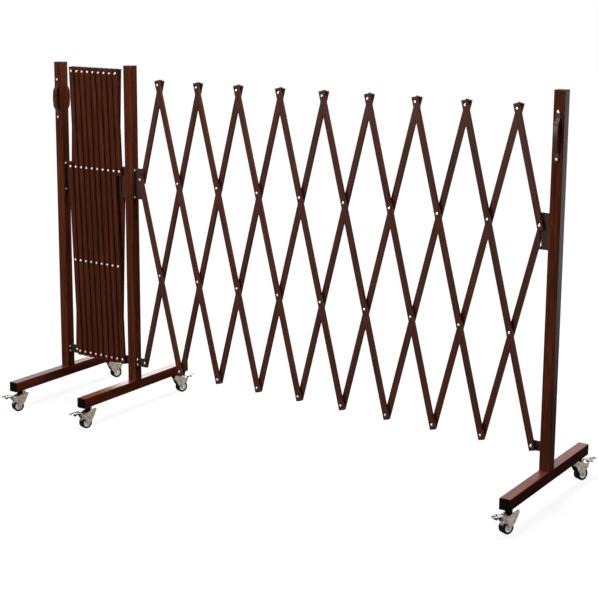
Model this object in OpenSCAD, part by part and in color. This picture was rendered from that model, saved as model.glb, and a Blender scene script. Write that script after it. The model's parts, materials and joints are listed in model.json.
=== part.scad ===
// Accordion gate on six braked casters: two scissor panels between three posts.
// Sizes are in millimetres. X runs along the gate, +Y away from its front, Z up.
// The origin is on the floor, midway between the two end posts.
// Each panel is drawn once, facing +X from the middle post, and the left one is
// the same panel turned half a turn about that post.

/* [Posts and feet] */
// Height from the floor to the top of the post caps
gate_h = 1262; // [1240:2:1320]
// Outer width of the square tube of posts and feet
tube_w = 35; // [32:1:42]
// Wall of that tube
tube_t = 1.5; // [1.2:0.1:2.5]
// Length of a foot from front to back, over its end plugs
foot_len = 580; // [480:10:700]
// Underside of the feet above the floor
foot_z = 78; // [76:0.5:88]
// Plate of the post caps and foot plugs
cap_t = 3; // [2:0.5:4]
// Depth of cap and plug bodies inside the tube
plug_deep = 12; // [8:1:16]

/* [Scissor panels] */
// Distance between neighbouring rivets on a slat
seg_len = 350; // [330:2:356]
// Lean of the right panel's slats from upright, in degrees, as photographed
right_lean = 14.1; // [3:0.1:27]
// Lean of the left panel's slats from upright, in degrees, as photographed
left_lean = 2.15; // [2.15:0.05:27]
// Lean in degrees of the slats when a panel is folded
fold_lean = 2.15; // [2.1:0.05:2.15]
// Lean in degrees of the slats when a panel is pulled right out
open_lean = 28; // [27:0.5:29]
// Height of the bottom row of rivets
low_rivet_z = 182; // [166:1:190]
// Width of a slat
slat_w = 20; // [14:0.5:22]
// Depth of a slat, front to back
slat_d = 10; // [8:0.5:12]
// Wall of a slat
slat_t = 1.2; // [1:0.1:1.6]
// Length of a slat past its end rivets
slat_over = 16; // [14:0.5:18]
// Space between the front and the back layer of slats
layer_gap = 6; // [5.5:0.25:9]

/* [Brackets] */
// Distance from a post's face to the bracket rivets
bracket_reach = 31; // [28:0.5:38]
// Sheet thickness of the brackets
bracket_t = 2.5; // [2:0.25:3]
// Width of the bracket flange on the post
flange_w = 12.5; // [11:0.5:15]
// Metal left around the slot and the rivets
bracket_edge = 10; // [8:0.5:13]
// Height of a bottom bracket
low_bracket_h = 32; // [30:1:40]
// Spacing of the two screws in a bottom bracket
low_screw_gap = 17; // [16:0.5:20]

/* [Rivets and screws] */
// Shank radius of the rivets
rivet_r = 2.5; // [2:0.1:2.8]
// Head radius of the rivets in the lattice
rivet_head_r = 4.3; // [3.5:0.1:4.8]
// Head height of the rivets in the lattice
rivet_head_h = 1.6; // [1.2:0.1:2.2]
// Head radius of the rivets at the brackets
bolt_head_r = 5; // [4.5:0.1:6]
// Head height of the rivets at the brackets
bolt_head_h = 2.6; // [2:0.1:3.2]
// Radius of the spacer rings between the slats
spacer_r = 6; // [5:0.25:7]
// Shank radius of the screws
screw_r = 2; // [1.6:0.1:2.4]
// Head radius of the screws
screw_head_r = 4.2; // [3.6:0.1:5]
// Head height of the screws
screw_head_h = 2.4; // [1.8:0.1:3]
// Length of a screw behind what it holds
screw_grip = 8; // [6:1:14]

/* [Pull handles] */
// Distance from the top of the gate down to the middle of the handles
handle_drop = 132; // [110:1:210]
// Spacing of a handle's two screws
handle_span = 137; // [120:1:160]
// Width of the handle strap
handle_w = 14; // [12:1:20]
// Thickness of the grip
grip_t = 6; // [5:0.5:8]
// Reach of the grip from the post
handle_out = 21; // [19:0.5:30]
// How far the grip bows out beyond its ends
grip_bow = 3; // [1:0.5:4]
// Thickness of the pads under the screws
pad_t = 4; // [3:0.5:5]
// Distance from a screw to the end of the strap
pad_end = 9; // [8:0.5:12]
// Distance from a screw to the foot of the grip
pad_in = 18; // [12:1:22]

/* [Casters] */
// Wheel radius
wheel_r = 20; // [17:0.5:22]
// Tyre width
tyre_w = 24; // [16:0.5:26]
// Radius of the hub inside the tyre
hub_r = 13.5; // [11:0.5:14.5]
// Distance from the stem to the axle
trail = 10; // [5:0.5:14]
// Distance from a foot's end to the caster stem
stem_inset = 34; // [30:1:60]
// Radius of the stem
stem_r = 5; // [4:0.5:6]
// Sheet thickness of the fork
fork_t = 2; // [1.5:0.25:2.5]
// Free height between wheel and fork crown
crown_gap = 10.5; // [10:0.5:14]
// Reach of the brake pedal from the stem
pedal_reach = 76; // [66:1:84]
// Width of the brake pedal at the fork
pedal_w = 28; // [24:1:32]
// Width of the brake pedal at its tip
pedal_tip_w = 14; // [10:1:20]
// Turn in degrees of the left front and right back casters, away from straight out
corner_turn = 24; // [0:1:45]
// Turn in degrees of the right front and left back casters
outer_turn = 22; // [0:1:45]
// Turn in degrees of the middle front caster
mid_front_turn = 16; // [0:1:45]
// Turn in degrees of the middle back caster
mid_back_turn = 20; // [0:1:45]

/* [Hidden] */
peaks = 9;
peak_list = [1:peaks + 1];

BROWN = [0.27, 0.12, 0.09];
DARK = [0.10, 0.08, 0.08];
BLACK = [0.06, 0.06, 0.06];
NICKEL = [0.72, 0.70, 0.67];
PALE = [0.80, 0.79, 0.76];
round_fn = 32;
// Running play of a pin in its hole, on the radius
pin_play = 0.05;
// Play between faces that slide past each other
face_play = 0.1;
// Hair gap where two pieces of one sub-part meet, so that each stays its own solid
seat = 0.05;
// Free space of a plug body inside its tube, on each side
plug_play = 0.1;
// How far a cutting shape runs past what it cuts
cut = 1;

slat_y = layer_gap / 2 + slat_d / 2;
slat_face_y = layer_gap / 2 + slat_d;
slat_cap_t = 1.5;
slat_plug = 6;
rivet_in = tube_w / 2 + bracket_reach;
right_gap = 2 * rivet_in + peaks * pitch(right_lean);
left_gap = 2 * rivet_in + peaks * pitch(left_lean);
middle_x = (left_gap - right_gap) / 2;
left_x = -(left_gap + right_gap) / 2;
right_x = (left_gap + right_gap) / 2;

tube_in = tube_w - 2 * tube_t;
foot_top = foot_z + tube_w;
post_len = gate_h - cap_t - foot_top;
stem_y = foot_len / 2 - stem_inset;
post_bolt_r = 4;
post_bolt_head_r = 7;
post_bolt_head_h = 5;
post_plug_h = 30;
handle_rise = 19;
handle_z = gate_h - handle_drop;

slot_low = low_rivet_z + 2 * seg_len * cos(open_lean);
slot_high = low_rivet_z + 2 * seg_len * cos(fold_lean);
slot_play = 0.5;
slot_r = rivet_r + slot_play;
wing_end = rivet_in + bracket_edge;
bracket_low = slot_low - slot_r - bracket_edge;
bracket_head = 4;
bracket_high = slot_high + slot_r + bracket_edge + bracket_head;
flange_screw_in = 8;
wing_half = bracket_t / 2;
bracket_x = tube_w / 2 + seat;

crown_z = 2 * wheel_r + crown_gap;
crown_t = 3;
race_r = 12;
race_h = 2;
collar_r = 10;
fork_in = tyre_w / 2 + 1.6;
fork_out = fork_in + fork_t;
fork_back = 27;
fork_front = 29;
crown_back = fork_back - 7;
crown_front = fork_front - 5;
fin_up = 20;
fin_r = 7;
fork_nose = 7;
belly_back = 21;
belly_up = 11;
chin_front = 4;
chin_up = 12;
axle_r = 3;
axle_head_r = 4.6;
axle_head_h = 2.4;
boss_r = 6;
rim_w = 2.5;
rim_bevel = 1;
hub_dish = 3;
tyre_round = 2;
lobe_r = 6.2;
stem_head_r = 8;
stem_head_h = 4;
stem_up = 24;
insert_len = 30;

pivot_x = trail + 11;
pivot_z = crown_z - 6;
pivot_r = 2;
pivot_head_r = 1.6 * pivot_r;
pivot_head_h = 1;
pedal_t = 2.5;
pedal_rise = 6;
pedal_z = crown_z + crown_t + pedal_rise;
pedal_root = fork_front + 1;
cheek_t = 2;
cheek_out = fork_in - face_play;
cheek_edge = 5;
shoe_gap = 1.2;
shoe_t = 2;
shoe_w = 16;
// The shoe runs from shoe_low to shoe_high round the tyre, its plate from there to shoe_end
shoe_low = 27;
shoe_high = 47;
shoe_end = 70;
stop_w = 14;
stop_r = 11;
stop_t = 3;
stop_neck = 4;
stop_reach = 16;
stop_x = pedal_root + stop_reach;
stop_z = pedal_z - stop_r - stop_t / 2;

function pitch(lean) = 2 * seg_len * sin(lean);
function rivet_x(place, lean) = rivet_in + (place - 0.5) * pitch(lean);
function rivet_z(row, lean) = low_rivet_z + (3 - row) * seg_len * cos(lean);
function ring(r, from, to, steps) =
    [for (i = [0:steps]) let (a = from + (to - from) * i / steps) [r * cos(a), r * sin(a)]];
function moved(points, d) = [for (p = points) p + d];
// A strip bent round a centre, between two radii and two angles
function bent_strip(r, t, from, to, at) =
    moved(concat(ring(r + t, from, to, 8), ring(r, to, from, 8)), at);

// A falling slat runs down away from the middle post. Number 0 and the last
// one are cut short at the sliding rivets.
function fall_segs(k) = k == 0 ? 2 : k == peaks ? 1 : 3;
function fall_row(k) = k == peaks ? 1 : 3;
function fall_place(k) = k == peaks ? peaks + 0.5 : k + 1.5;
// A rising slat runs up away from the middle post, from number 1 to the last.
function rise_segs(k) = k == 1 ? 1 : k == peaks + 1 ? 2 : 3;
function rise_row(k) = k == 1 ? 1 : 3;
function rise_place(k) = k == 1 ? 0.5 : k - 1.5;

// A pin with a domed head at each end, along +Y from y0 to y1
module rivet(y0, y1, head_r, head_h) {
    profile = [
        [0, y0 - head_h], [0.45 * head_r, y0 - 0.92 * head_h], [0.8 * head_r, y0 - 0.62 * head_h],
        [head_r, y0 - 0.15 * head_h], [head_r, y0], [rivet_r, y0], [rivet_r, y1],
        [head_r, y1], [head_r, y1 + 0.15 * head_h], [0.8 * head_r, y1 + 0.62 * head_h],
        [0.45 * head_r, y1 + 0.92 * head_h], [0, y1 + head_h]
    ];
    rotate([-90, 0, 0])
        rotate_extrude($fn = round_fn) polygon(profile);
}

// A washer or spacer along +Y from y0 to y1
module spacer(y0, y1, r, hole_r) {
    rotate([-90, 0, 0])
        translate([0, 0, y0])
            difference() {
                cylinder(r = r, h = y1 - y0, $fn = round_fn);
                translate([0, 0, -cut])
                    cylinder(r = hole_r, h = y1 - y0 + 2 * cut, $fn = round_fn);
            }
}

// A pan head screw along +Z, with the head's flat side at z = 0 and the shank below
module screw(shank) {
    profile = [
        [0, -shank], [screw_r, -shank], [screw_r, 0], [screw_head_r, 0],
        [screw_head_r, 0.35 * screw_head_h], [0.8 * screw_head_r, 0.8 * screw_head_h],
        [0.45 * screw_head_r, screw_head_h], [0, screw_head_h]
    ];
    rotate_extrude($fn = round_fn) polygon(profile);
}

// A round hole along Y through everything near the axis
module hole_y(r, reach) {
    rotate([90, 0, 0])
        cylinder(r = r, h = 2 * reach, center = true, $fn = round_fn);
}

// A square tube along +Z, centred on the axis
module square_tube(w, t, len) {
    difference() {
        translate([-w / 2, -w / 2, 0])
            cube([w, w, len]);
        translate([-w / 2 + t, -w / 2 + t, -cut])
            cube([w - 2 * t, w - 2 * t, len + 2 * cut]);
    }
}

// A cap plate with a plug body that points down into a tube whose end is at z = 0
module square_plug(w, t, plate, deep) {
    body = w - 2 * t - 2 * plug_play;
    translate([-w / 2, -w / 2, 0])
        cube([w, w, plate]);
    translate([-body / 2, -body / 2, -deep])
        cube([body, body, deep]);
}

// The tube of a slat, along +Z from its lowest rivet
module slat_tube(segs) {
    low = -slat_over + slat_cap_t + seat;
    len = segs * seg_len - 2 * low;
    color(BROWN)
        difference() {
            translate([-slat_w / 2, -slat_d / 2, low])
                cube([slat_w, slat_d, len]);
            translate([-slat_w / 2 + slat_t, -slat_d / 2 + slat_t, low - cut])
                cube([slat_w - 2 * slat_t, slat_d - 2 * slat_t, len + 2 * cut]);
            for (i = [0:segs])
                translate([0, 0, i * seg_len])
                    hole_y(rivet_r + pin_play, slat_d);
        }
}

// The plug in a slat's lower end
module slat_end() {
    bw = slat_w - 2 * slat_t - 2 * plug_play;
    bd = slat_d - 2 * slat_t - 2 * plug_play;
    low = -slat_over + slat_cap_t;
    color(DARK) {
        translate([-slat_w / 2, -slat_d / 2, -slat_over])
            cube([slat_w, slat_d, slat_cap_t]);
        translate([-bw / 2, -bd / 2, low])
            cube([bw, bd, slat_plug]);
    }
}

module slat(segs) {
    slat_tube(segs);
    slat_end();
    translate([0, 0, segs * seg_len])
        rotate([0, 180, 0])
            slat_end();
}

// The rivet of a crossing, with its spacer between the layers
module crossing_rivet() {
    color(PALE)
        rivet(-slat_face_y - seat, slat_face_y + face_play, rivet_head_r, rivet_head_h);
    color(DARK)
        spacer(-layer_gap / 2 + seat, layer_gap / 2 - face_play, spacer_r, rivet_r + pin_play);
}

// The rivet that slides in a bracket's slot, with a washer on each side of the wing
module sliding_rivet() {
    color(PALE)
        rivet(-slat_face_y - seat, slat_face_y + face_play, bolt_head_r, bolt_head_h);
    color(DARK) {
        spacer(-layer_gap / 2 + seat, -wing_half - face_play, spacer_r, rivet_r + pin_play);
        spacer(wing_half + face_play, layer_gap / 2 - face_play, spacer_r, rivet_r + pin_play);
    }
}

// Falling slat k of a panel that faces +X from the origin, with its rivets
module falling_slat(k, lean) {
    segs = fall_segs(k);
    row = fall_row(k);
    slide_at = k == 0 ? segs : k == peaks ? 0 : -1;
    translate([rivet_x(fall_place(k), lean), 0, rivet_z(row, lean)])
        rotate([0, -lean, 0]) {
            translate([0, -slat_y, 0])
                slat(segs);
            for (i = [0:segs])
                if (i == slide_at)
                    translate([0, 0, i * seg_len]) sliding_rivet();
                else if (i > 0 || k != peaks - 1)
                    translate([0, 0, i * seg_len]) crossing_rivet();
        }
}

// Rising slat k of a panel that faces +X from the origin
module rising_slat(k, lean) {
    translate([rivet_x(rise_place(k), lean), 0, rivet_z(rise_row(k), lean)])
        rotate([0, lean, 0])
            translate([0, slat_y, 0])
                slat(rise_segs(k));
}

module left_panel() {
    translate([middle_x, 0, 0])
        rotate([0, 0, 180])
            children();
}

module right_panel() {
    translate([middle_x, 0, 0])
        children();
}

// One bent bracket on the +X face of a post at the origin, from z0 to z1
module bracket_sheet(z0, z1) {
    translate([bracket_x, -flange_w, z0])
        cube([bracket_t, flange_w + wing_half, z1 - z0]);
    translate([bracket_x, -wing_half, z0])
        cube([wing_end - bracket_x, bracket_t, z1 - z0]);
}

module flange_holes(heights) {
    for (z = heights)
        translate([tube_w / 2, -(flange_w + wing_half) / 2, z])
            rotate([0, 90, 0])
                cylinder(r = screw_r + pin_play, h = 4 * bracket_t, center = true, $fn = round_fn);
}

module flange_screws(heights) {
    color(PALE)
        for (z = heights)
            translate([bracket_x + bracket_t + seat, -(flange_w + wing_half) / 2, z])
                rotate([0, 90, 0])
                    screw(bracket_t + tube_t + screw_grip);
}

function high_screws() = [bracket_low + flange_screw_in, bracket_high - flange_screw_in];
function low_screws() = [low_rivet_z - low_screw_gap / 2, low_rivet_z + low_screw_gap / 2];

// Both brackets of one side of a post, with their screws and the fixed rivet
module brackets() {
    color(BROWN) {
        difference() {
            bracket_sheet(bracket_low, bracket_high);
            flange_holes(high_screws());
            for (z = [slot_low - slot_play, slot_high + slot_play])
                translate([rivet_in, 0, z])
                    hole_y(slot_r, bracket_t);
            translate([rivet_in - slot_r, -bracket_t, slot_low - slot_play])
                cube([2 * slot_r, 2 * bracket_t, slot_high - slot_low + 2 * slot_play]);
        }
        difference() {
            bracket_sheet(low_rivet_z - low_bracket_h / 2, low_rivet_z + low_bracket_h / 2);
            flange_holes(low_screws());
            translate([rivet_in, 0, low_rivet_z])
                hole_y(rivet_r + pin_play, bracket_t);
        }
    }
    flange_screws(concat(high_screws(), low_screws()));
    translate([rivet_in, 0, low_rivet_z]) {
        color(PALE)
            rivet(-wing_half - seat, slat_face_y + face_play, bolt_head_r, bolt_head_h);
        color(DARK)
            spacer(wing_half + seat, layer_gap / 2 - face_play, spacer_r, rivet_r + pin_play);
    }
}

// Places children on the +X side (1) or the -X side (-1) of a post
module post_side(side) {
    rotate([0, 0, side > 0 ? 0 : 180])
        children();
}

// A post at the origin, with brackets on the listed sides and handles or none
module post(sides, has_handles) {
    color(BROWN)
        difference() {
            translate([0, 0, foot_top])
                square_tube(tube_w, tube_t, post_len - seat);
            for (s = sides)
                post_side(s)
                    flange_holes(concat(high_screws(), low_screws()));
            if (has_handles)
                for (z = [-1, 1])
                    translate([0, 0, handle_z + z * handle_span / 2])
                        hole_y(screw_r + pin_play, tube_w);
        }
    color(DARK) {
        translate([0, 0, foot_top + post_len])
            square_plug(tube_w, tube_t, cap_t, plug_deep);
        difference() {
            body = tube_in - 2 * plug_play;
            translate([-body / 2, -body / 2, foot_top])
                cube([body, body, post_plug_h]);
            translate([0, 0, foot_top - cut])
                cylinder(r = post_bolt_r + pin_play, h = post_plug_h + 2 * cut, $fn = round_fn);
        }
    }
    for (s = sides)
        post_side(s)
            brackets();
}

// The fixed part of a caster: stem with its retaining head, black collar and insert
module caster_stem() {
    top = foot_z + tube_t + stem_up;
    color(NICKEL) {
        translate([0, 0, crown_z - face_play - stem_head_h])
            cylinder(r = stem_head_r, h = stem_head_h, $fn = round_fn);
        translate([0, 0, crown_z - face_play])
            cylinder(r = stem_r, h = top - crown_z + face_play, $fn = round_fn);
    }
    color(BLACK)
        translate([0, 0, crown_z + crown_t + race_h + face_play])
            difference() {
                high = foot_z - crown_z - crown_t - race_h - face_play - seat;
                cylinder(r = collar_r, h = high, $fn = round_fn);
                translate([0, 0, -cut])
                    cylinder(r = stem_r + pin_play, h = high + 2 * cut, $fn = round_fn);
            }
    color(PALE)
        translate([0, 0, foot_z + tube_t + seat])
            difference() {
                body = tube_in - 2 * plug_play;
                translate([-body / 2, -insert_len / 2, 0])
                    cube([body, insert_len, stem_up]);
                translate([0, 0, -cut])
                    cylinder(r = stem_r + pin_play, h = stem_up + 2 * cut, $fn = round_fn);
            }
}

// A foot at the origin: tube, end plugs, caster stems and the bolt up into the post
module foot() {
    tube_len = foot_len - 2 * cap_t - 2 * seat;
    color(BROWN)
        difference() {
            translate([0, -tube_len / 2, foot_z + tube_w / 2])
                rotate([-90, 0, 0])
                    square_tube(tube_w, tube_t, tube_len);
            for (y = [-stem_y, stem_y])
                translate([0, y, foot_z - cut])
                    cylinder(r = stem_r + pin_play, h = tube_t + 2 * cut, $fn = round_fn);
            translate([0, 0, foot_z - cut])
                cylinder(r = post_bolt_r + pin_play, h = tube_w + 2 * cut, $fn = round_fn);
        }
    color(BLACK)
        for (s = [-1, 1])
            translate([0, s * (foot_len / 2 - cap_t), foot_z + tube_w / 2])
                rotate([-s * 90, 0, 0])
                    square_plug(tube_w, tube_t, cap_t, plug_deep);
    for (s = [-1, 1])
        translate([0, s * stem_y, 0])
            caster_stem();
    color(NICKEL) {
        translate([0, 0, foot_z - seat - post_bolt_head_h])
            cylinder(r = post_bolt_head_r, h = post_bolt_head_h, $fn = 6);
        translate([0, 0, foot_z - seat])
            cylinder(r = post_bolt_r, h = tube_w + post_plug_h, $fn = round_fn);
    }
}

// A bow handle on the front (-Y) face of a post at the origin, with its two screws
module handle() {
    pad_from = handle_span / 2 - pad_in;
    grip_half = pad_from - handle_rise;
    inner_half = grip_half - grip_t / 3;
    steps = 8;
    grip = [for (i = [-steps:steps]) i / steps];
    outer = concat(
        [[-handle_span / 2 - pad_end, 0], [-handle_span / 2 - pad_end, pad_t], [-pad_from, pad_t]],
        [for (s = grip) [s * grip_half, handle_out - grip_bow * s * s]],
        [[pad_from, pad_t], [handle_span / 2 + pad_end, pad_t], [handle_span / 2 + pad_end, 0]]
    );
    inner = concat(
        [[pad_from - 2 * pad_t, 0]],
        [for (s = grip) [-s * inner_half, handle_out - grip_t - grip_bow * s * s]],
        [[-pad_from + 2 * pad_t, 0]]
    );
    color(BROWN)
        difference() {
            translate([handle_w / 2, -tube_w / 2, handle_z])
                rotate([0, -90, 0])
                    linear_extrude(handle_w)
                        mirror([0, 1])
                            polygon(concat(outer, inner));
            for (s = [-1, 1])
                translate([0, -tube_w / 2, handle_z + s * handle_span / 2])
                    hole_y(screw_r + pin_play, 2 * pad_t);
        }
    color(PALE)
        for (s = [-1, 1])
            translate([0, -tube_w / 2 - pad_t - seat, handle_z + s * handle_span / 2])
                rotate([90, 0, 0])
                    screw(pad_t + tube_t + screw_grip);
}

module handles() {
    handle();
    rotate([0, 0, 180])
        handle();
}

// Places children at a foot's front (-1) or back (1) stem, with +X pointing along the pedal
module at_caster(x, end, turn) {
    translate([x, end * stem_y, 0])
        rotate([0, 0, end * 90 - turn])
            children();
}

// A fork side: a fin that stands above the crown at the back, a top edge that falls to the
// nose at the front, and a tongue down to the axle that leaves the front of the hub in sight
function fork_side() = concat(
    moved(ring(fin_r, 190, 70, 6), [fin_r - fork_back, crown_z + fin_up - fin_r]),
    [[fork_front - 1, crown_z + crown_t], [fork_front, crown_z - 1]],
    [[fork_front - 1, crown_z - fork_nose], [trail + chin_front, wheel_r + chin_up]],
    moved(ring(lobe_r, 0, -170, 8), [trail, wheel_r]),
    [[trail - belly_back, wheel_r + belly_up]]
);

// The turning fork with its axle and brake lever; the stem is at the origin
module caster_fork() {
    color(NICKEL)
        difference() {
            union() {
                translate([-crown_back, -fork_out, crown_z])
                    cube([crown_back + crown_front, 2 * fork_out, crown_t]);
                translate([0, 0, crown_z + crown_t])
                    cylinder(r = race_r, h = race_h, $fn = round_fn);
                for (y = [-fork_in, fork_out])
                    translate([0, y, 0])
                        rotate([90, 0, 0])
                            linear_extrude(fork_t)
                                polygon(fork_side());
            }
            translate([0, 0, crown_z - cut])
                cylinder(r = stem_r + pin_play, h = crown_t + race_h + 2 * cut, $fn = round_fn);
            translate([trail, 0, wheel_r])
                hole_y(axle_r + pin_play, 2 * fork_out);
            translate([pivot_x, 0, pivot_z])
                hole_y(pivot_r + pin_play, 2 * fork_out);
        }
    color(NICKEL)
        translate([trail, 0, wheel_r])
            headed_pin(axle_r, fork_out + seat, axle_head_r, axle_head_h);
    color(NICKEL)
        translate([pivot_x, 0, pivot_z])
            headed_pin(pivot_r, fork_out + seat, pivot_head_r, pivot_head_h);
    brake_lever();
    brake_stop();
}

// A pin along Y with a flat head outside each fork side
module headed_pin(r, half, head_r, head_h) {
    bevel = 0.3 * head_h;
    rotate([-90, 0, 0])
        rotate_extrude($fn = round_fn)
            polygon([
                [0, -half - head_h], [head_r - bevel, -half - head_h], [head_r, -half - head_h + bevel],
                [head_r, -half], [r, -half], [r, half], [head_r, half],
                [head_r, half + head_h - bevel], [head_r - bevel, half + head_h], [0, half + head_h]
            ]);
}

// A flat outline in the plane of the wheel, given a width across it
module across(w) {
    rotate([90, 0, 0])
        translate([0, 0, -w / 2])
            linear_extrude(w)
                children();
}

// One of the lever's two cheeks, inside the fork, from the pedal down to the shoe
module lever_cheek() {
    shoe_r = wheel_r + shoe_gap + shoe_t / 2;
    polygon([
        [pedal_root + cheek_edge, pedal_z + pedal_t / 2], [pedal_root, pedal_z + pedal_t / 2],
        [crown_front + 1, crown_z - face_play], [pivot_x - cheek_edge, crown_z - face_play],
        [pivot_x - cheek_edge, pivot_z - pivot_r],
        for (a = [shoe_end, (shoe_end + shoe_high) / 2, shoe_high])
            [trail + shoe_r * cos(a), wheel_r + shoe_r * sin(a)],
        [pivot_x + 1.6 * cheek_edge, pivot_z - cheek_edge]
    ]);
}

// The brake lever: a tread plate outside the fork, two cheeks on the pivot and a shoe over the tyre
module brake_lever() {
    tip = pedal_reach - pedal_tip_w / 2;
    color(NICKEL)
        difference() {
            union() {
                translate([0, 0, pedal_z])
                    linear_extrude(pedal_t)
                        polygon(concat(
                            [[pedal_root, pedal_w / 2], [pedal_root, -pedal_w / 2]],
                            [[pedal_root + pedal_w / 2, -pedal_w / 2]],
                            moved(ring(pedal_tip_w / 2, -60, 60, 6), [tip, 0]),
                            [[pedal_root + pedal_w / 2, pedal_w / 2]]
                        ));
                for (y = [-1, 1])
                    translate([0, y * (cheek_out - cheek_t / 2), 0])
                        across(cheek_t) lever_cheek();
                across(2 * cheek_out)
                    polygon(bent_strip(wheel_r + shoe_gap, shoe_t, shoe_high, shoe_end, [trail, wheel_r]));
                across(shoe_w)
                    polygon(bent_strip(wheel_r + shoe_gap, shoe_t, shoe_low, shoe_high + 2,
                                       [trail, wheel_r]));
            }
            translate([pivot_x, 0, pivot_z])
                hole_y(pivot_r + pin_play, 2 * fork_out);
        }
}

// The black stop that hangs under the pedal
module brake_stop() {
    color(BLACK) {
        across(stop_w)
            polygon(bent_strip(stop_r - stop_t, stop_t, 25, 150, [stop_x, stop_z]));
        translate([stop_x - stop_neck / 2, -stop_neck, stop_z + stop_r - stop_t / 2])
            cube([stop_neck, 2 * stop_neck, pedal_z - seat - stop_z - stop_r + stop_t / 2]);
    }
}

// The turning wheel: a tyre on a dished hub, whose bosses reach the fork
module caster_wheel() {
    half = tyre_w / 2;
    web_half = half - hub_dish;
    boss_half = fork_in - face_play;
    translate([trail, 0, wheel_r])
        rotate([-90, 0, 0]) {
            color(BLACK)
                rotate_extrude($fn = 2 * round_fn)
                    polygon(concat(
                        [[hub_r + seat, -half + rim_bevel], [hub_r + rim_bevel, -half]],
                        moved(ring(tyre_round, -90, 0, 4), [wheel_r - tyre_round, -half + tyre_round]),
                        moved(ring(tyre_round, 0, 90, 4), [wheel_r - tyre_round, half - tyre_round]),
                        [[hub_r + rim_bevel, half], [hub_r + seat, half - rim_bevel]]
                    ));
            color(PALE)
                rotate_extrude($fn = 2 * round_fn)
                    polygon([
                        [axle_r + pin_play, -boss_half], [boss_r, -boss_half], [boss_r, -web_half],
                        [hub_r - rim_w, -web_half], [hub_r - rim_w, -half + rim_bevel],
                        [hub_r, -half + rim_bevel], [hub_r, half - rim_bevel],
                        [hub_r - rim_w, half - rim_bevel], [hub_r - rim_w, web_half],
                        [boss_r, web_half], [boss_r, boss_half], [axle_r + pin_play, boss_half]
                    ]);
        }
}

translate([left_x, 0, 0]) post([1], true);  // left_post
translate([middle_x, 0, 0]) post([-1, 1], false);  // middle_post
translate([right_x, 0, 0]) post([-1], true);  // right_post
translate([left_x, 0, 0]) foot();  // left_foot
translate([middle_x, 0, 0]) foot();  // middle_foot
translate([right_x, 0, 0]) foot();  // right_foot
translate([left_x, 0, 0]) handles();  // left_handles
translate([right_x, 0, 0]) handles();  // right_handles

// Each caster is a place name, the x of its post, its end of the foot and its turn
CASTERS = [
    ["left_front", left_x, -1, corner_turn],
    ["left_back", left_x, 1, outer_turn],
    ["middle_front", middle_x, -1, mid_front_turn],
    ["middle_back", middle_x, 1, mid_back_turn],
    ["right_front", right_x, -1, outer_turn],
    ["right_back", right_x, 1, corner_turn]
];
for (c = CASTERS) {
    at_caster(c[1], c[2], c[3]) caster_fork();
    at_caster(c[1], c[2], c[3]) caster_wheel();
}

// Slats are numbered outwards from the middle post
for (i = peak_list) {
    right_panel() falling_slat(i - 1, right_lean);
    right_panel() rising_slat(i, right_lean);
    left_panel() falling_slat(i - 1, left_lean);
    left_panel() rising_slat(i, left_lean);
}
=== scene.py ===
# %% [markdown]
# # An accordion gate on casters
# A folding barrier: three square posts on T-feet, and between them two scissor
# panels of thin slats. All of it is aluminium with a dark wood-grain print, with
# pale rivets, black plugs and plated casters.
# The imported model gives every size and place. Each cell here makes one kind of
# piece in a finer form, gives it its finish, and hangs it on the body it moves
# with. Lengths are written in millimetres and turned into metres by MM.

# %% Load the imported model
import json
import math

import bmesh
import bpy
from mathutils import Matrix, Vector

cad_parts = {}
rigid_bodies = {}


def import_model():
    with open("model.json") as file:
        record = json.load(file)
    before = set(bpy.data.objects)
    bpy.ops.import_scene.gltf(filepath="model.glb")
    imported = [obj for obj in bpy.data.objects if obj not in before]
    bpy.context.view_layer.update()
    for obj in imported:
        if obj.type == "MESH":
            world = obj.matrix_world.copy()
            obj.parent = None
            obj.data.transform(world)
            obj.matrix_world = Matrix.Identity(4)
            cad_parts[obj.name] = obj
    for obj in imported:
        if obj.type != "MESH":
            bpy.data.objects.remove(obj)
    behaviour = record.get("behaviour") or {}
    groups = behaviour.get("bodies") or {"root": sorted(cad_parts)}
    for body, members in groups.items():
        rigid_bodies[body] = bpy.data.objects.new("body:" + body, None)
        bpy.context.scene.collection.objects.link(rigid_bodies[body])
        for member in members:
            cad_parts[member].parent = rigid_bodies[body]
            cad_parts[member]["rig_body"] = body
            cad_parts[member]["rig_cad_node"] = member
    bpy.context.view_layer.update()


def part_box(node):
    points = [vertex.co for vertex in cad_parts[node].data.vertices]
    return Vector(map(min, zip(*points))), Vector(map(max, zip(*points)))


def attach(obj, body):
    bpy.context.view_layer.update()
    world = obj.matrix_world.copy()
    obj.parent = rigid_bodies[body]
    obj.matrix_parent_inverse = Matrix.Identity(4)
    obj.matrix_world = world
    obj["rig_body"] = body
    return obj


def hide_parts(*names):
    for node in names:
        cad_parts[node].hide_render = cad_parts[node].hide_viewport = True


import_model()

MM = 0.001

# %% [markdown]
# ## The sizes of the gate
# The gate is one pattern repeated: nine diamonds between two posts. So a few
# lengths and the lean of the slats place every slat and rivet. The same numbers
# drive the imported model, and the places of the posts are printed to check them.

# %% Shared sizes
GATE_TOP = 1262
TUBE_W = 35
TUBE_WALL = 1.5
CAP_T = 3
FOOT_Z = 78  # height of the feet's undersides
FOOT_TOP = FOOT_Z + TUBE_W
FOOT_LEN = 580
PEAKS = 9
RIVET_STEP = 350  # from rivet to rivet along a slat
LOW_RIVET = 182  # height of the lowest row of rivets
RIVET_IN = 48.5  # from the middle of a post to the rivet in its bracket
SLAT_W, SLAT_D, SLAT_WALL = 20, 10, 1.2
SLAT_PAST = 16  # how far a slat runs past its last rivet
SLAT_CAP = 1.5
SLAT_Y = 8  # from the middle of the panel to the middle of a slat
SEAT = 0.05  # the gap between pieces that are pressed together
LEAN = {"right": math.radians(14.1), "left": math.radians(2.15)}


def pitch(side):
    """How far apart the rivets of one row are."""
    return 2 * RIVET_STEP * math.sin(LEAN[side])


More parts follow.
